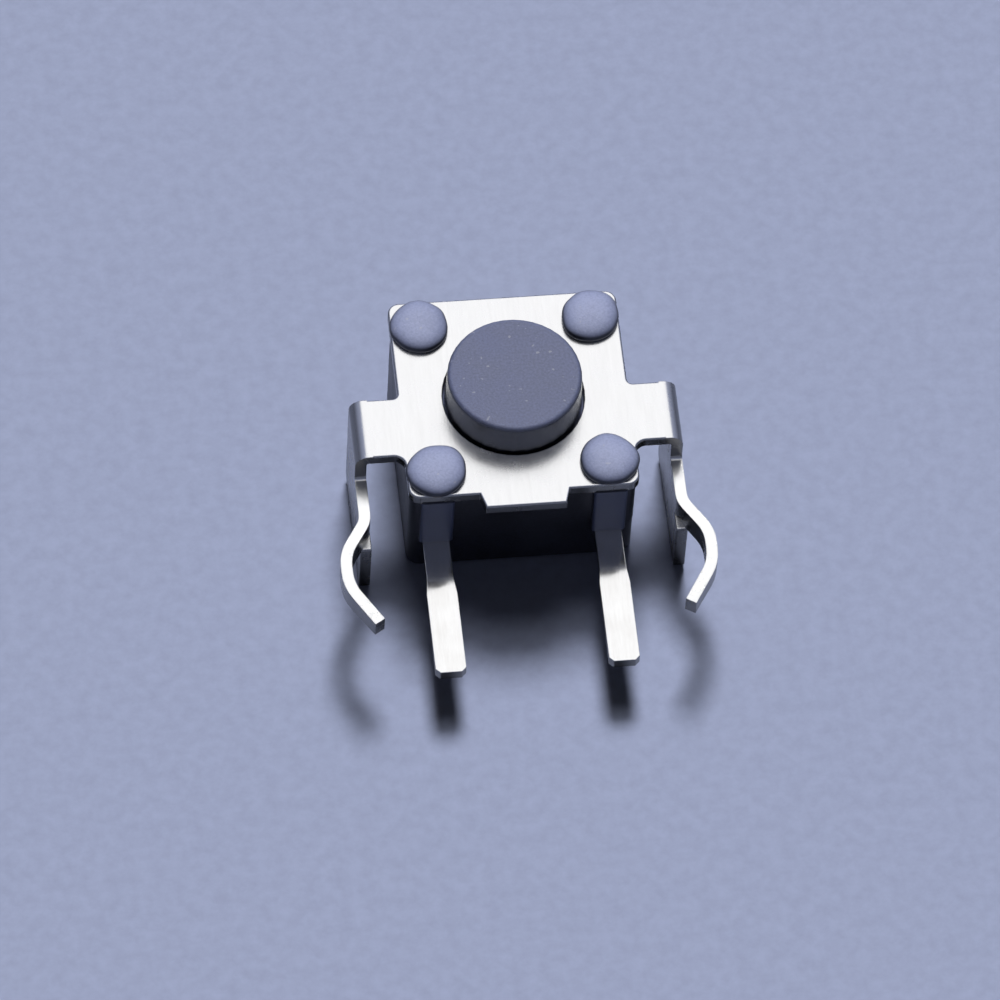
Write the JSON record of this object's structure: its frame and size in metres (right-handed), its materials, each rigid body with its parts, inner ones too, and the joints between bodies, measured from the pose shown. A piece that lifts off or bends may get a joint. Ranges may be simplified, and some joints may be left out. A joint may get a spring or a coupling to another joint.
{
  "type": "side-push tactile switch",
  "caption": "Square right-angle momentary push switch for circuit boards, with a folded metal cover, kinked snap-in legs and flat soldered terminals.",
  "frame": {"origin": "middle of the housing's flat back face, under the button's axis", "axes": "+Z along the button's axis, out of the button; -Y towards the circuit board, along the terminals; +X to the right seen from the button"},
  "size_m": [0.0098, 0.0101, 0.0045],
  "materials": {
    "moulded_black": "fine-grained black moulding",
    "tinned_steel": "bright tin over steel",
    "button_black": "matt, slightly worn on its face",
    "dome_steel": "rolled spring steel, silvered",
    "tinned_brass": "tinned brass strip"
  },
  "bodies": {
    "base": {"housing": "moulded_black", "cover_bracket": "tinned_steel", "left_terminal": "tinned_brass", "right_terminal": "tinned_brass", "snap_dome": "dome_steel"},
    "plunger": {"button": "button_black"}
  },
  "joints": [
    {"name": "button_press", "type": "slide", "parent": "base", "child": "plunger", "axis": [0, 0, -1], "range_m": [0, 0.00025], "stiffness_N_per_m": 5000, "springref_m": -0.00008, "deforming": ["snap_dome"]}
  ]
}
